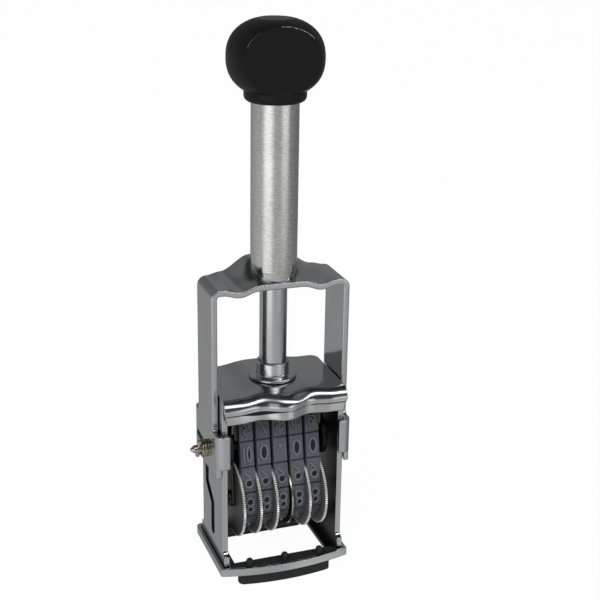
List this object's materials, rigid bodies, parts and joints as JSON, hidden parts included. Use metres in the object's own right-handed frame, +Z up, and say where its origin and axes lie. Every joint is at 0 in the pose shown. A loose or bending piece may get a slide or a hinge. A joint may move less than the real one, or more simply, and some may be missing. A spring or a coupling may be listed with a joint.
{
  "type": "price marking stamp",
  "caption": "Self-inking band stamp: a knob handle pushes a yoke down over a sheet frame, and the rubber type turns over from its ink pad to print through the base.",
  "frame": {"origin": "on the table under the handle's axis, in the plane of the rubber feet", "axes": "+Z up along the handle, -Y to the front where the type and the thumb wheels show, X across along the axle"},
  "size_m": [0.0457, 0.0298, 0.1574],
  "materials": {
    "nickel_plate": "satin nickel plate on steel",
    "bright_nickel": "bright nickel plate",
    "steel": "plain steel",
    "brass": "dull brass",
    "black_plastic": "satin moulded plastic",
    "black_rubber": "matt",
    "slate_rubber": "matt type rubber",
    "ink_felt": "inked felt"
  },
  "bodies": {
    "base": {"base_ring": "nickel_plate", "front_foot": "black_rubber", "rear_foot": "black_rubber", "inner_frame": "nickel_plate", "pad_tray": "nickel_plate", "ink_pad": "ink_felt", "guide_rod": "nickel_plate", "rod_collar": "nickel_plate", "rod_stop": "steel", "stop_screw": "steel", "return_spring": "steel"},
    "handle": {"knob": "black_plastic", "handle_tube": "nickel_plate", "tube_plug": "steel", "guide_bush": "brass", "yoke": "nickel_plate", "axle": "steel", "axle_washers": "brass", "cotter_pin": "steel"},
    "type_unit": {"left_cheek": "brass", "right_cheek": "brass", "nose_bar": "steel", "axle_sleeve": "steel", "left_turn_disc": "steel", "right_turn_disc": "steel", "wheel_shaft": "steel", "shaft_clips": "steel", "divider_disc": "brass", "band_1": "slate_rubber", "band_2": "slate_rubber", "band_3": "slate_rubber", "band_4": "slate_rubber", "band_5": "slate_rubber"},
    "thumb_wheel_1": {"wheel_1": "bright_nickel"},
    "thumb_wheel_2": {"wheel_2": "bright_nickel"},
    "thumb_wheel_3": {"wheel_3": "bright_nickel"},
    "thumb_wheel_4": {"wheel_4": "bright_nickel"},
    "thumb_wheel_5": {"wheel_5": "bright_nickel"}
  },
  "joints": [
    {"name": "handle_press", "type": "slide", "parent": "base", "child": "handle", "axis": [0, 0, -1], "range_m": [0, 0.0262], "stiffness_N_per_m": 200, "springref_m": -0.025, "deforming": ["return_spring"]},
    {"name": "type_turn", "type": "hinge", "parent": "handle", "child": "type_unit", "pos_m": [0, 0, 0.0383], "axis": [-1, 0, 0], "range_deg": [0, 180]},
    {"name": "wheel_1_turn", "type": "hinge", "parent": "type_unit", "child": "thumb_wheel_1", "pos_m": [0, -0.002, 0.0222], "axis": [-1, 0, 0], "continuous": true},
    {"name": "wheel_2_turn", "type": "hinge", "parent": "type_unit", "child": "thumb_wheel_2", "pos_m": [0, -0.002, 0.0222], "axis": [-1, 0, 0], "continuous": true},
    {"name": "wheel_3_turn", "type": "hinge", "parent": "type_unit", "child": "thumb_wheel_3", "pos_m": [0, -0.002, 0.0222], "axis": [-1, 0, 0], "continuous": true},
    {"name": "wheel_4_turn", "type": "hinge", "parent": "type_unit", "child": "thumb_wheel_4", "pos_m": [0, -0.002, 0.0222], "axis": [-1, 0, 0], "continuous": true},
    {"name": "wheel_5_turn", "type": "hinge", "parent": "type_unit", "child": "thumb_wheel_5", "pos_m": [0, -0.002, 0.0222], "axis": [-1, 0, 0], "continuous": true}
  ],
  "couplings": [
    {"joint": "type_turn", "follows": "handle_press", "rad_per_m": 119.9}
  ]
}
